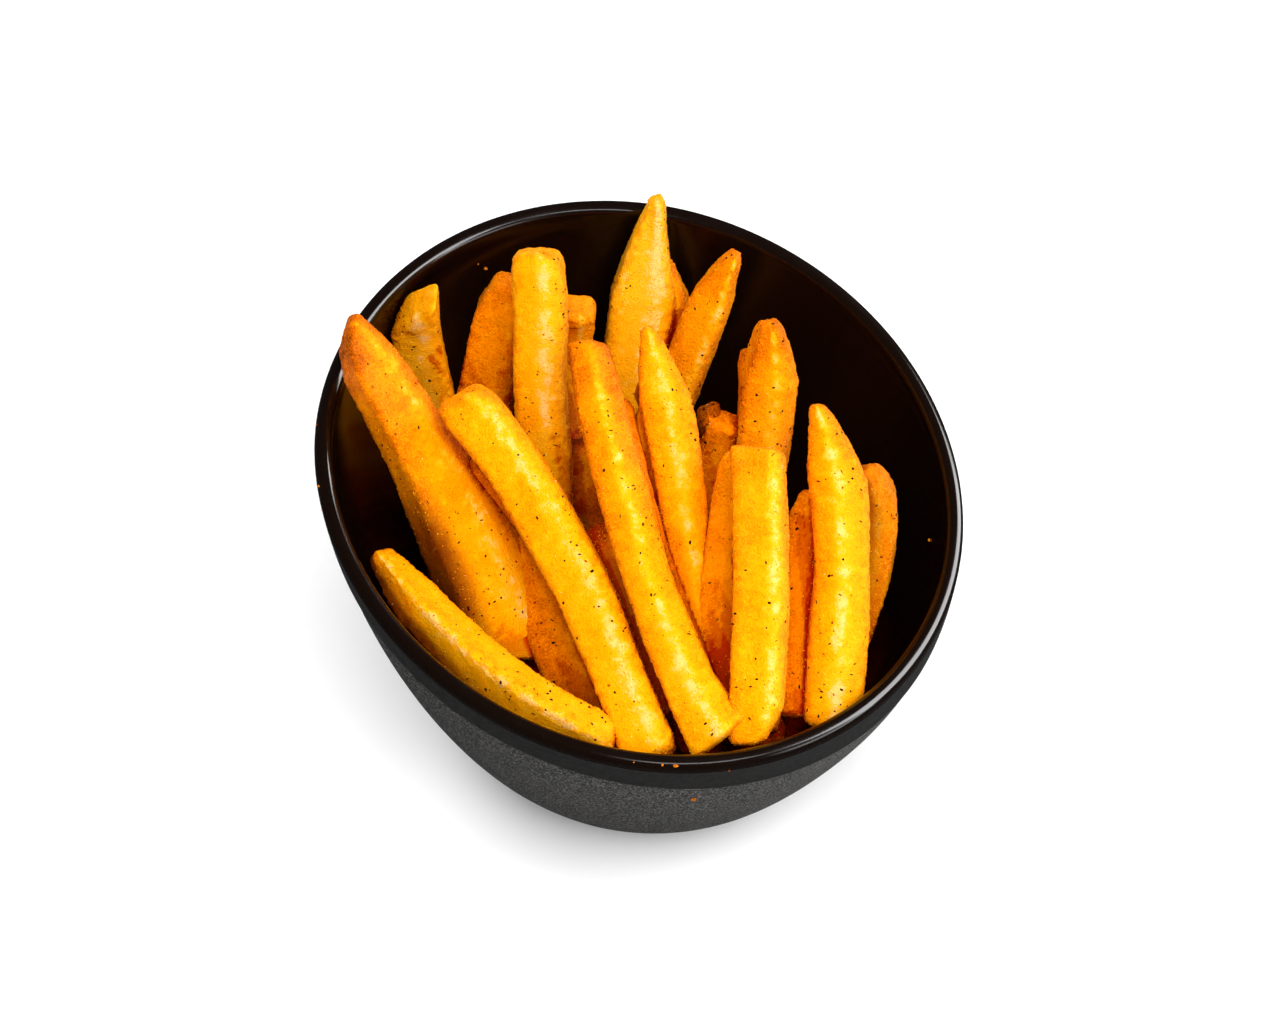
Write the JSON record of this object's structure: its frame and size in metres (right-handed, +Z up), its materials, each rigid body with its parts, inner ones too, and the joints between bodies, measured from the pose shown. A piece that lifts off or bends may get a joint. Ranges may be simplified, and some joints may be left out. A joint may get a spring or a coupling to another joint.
{
  "type": "french fries portion in a bowl",
  "caption": "Portion of thick-cut seasoned french fries standing in a dark round serving bowl whose rim is cut on a slant, low at the front.",
  "frame": {"origin": "middle of the bowl's flat foot, on the surface it stands on", "axes": "+Z up along the bowl's axis, -Y towards the side the fries' feet point to, the rim's low side between -Y and +X"},
  "size_m": [0.1299, 0.1295, 0.1012],
  "materials": {
    "bowl_glaze": "black gloss glaze inside and over the lip, satin band below the rim, fine sandy matte body",
    "fried_potato": "golden fried crust with pale ridges, amber hollows and a light oily sheen",
    "seasoning": "black pepper flecks, red-brown spice and fine salt"
  },
  "bodies": {
    "root": {"bowl": "bowl_glaze", "fries": "fried_potato"}
  },
  "joints": []
}
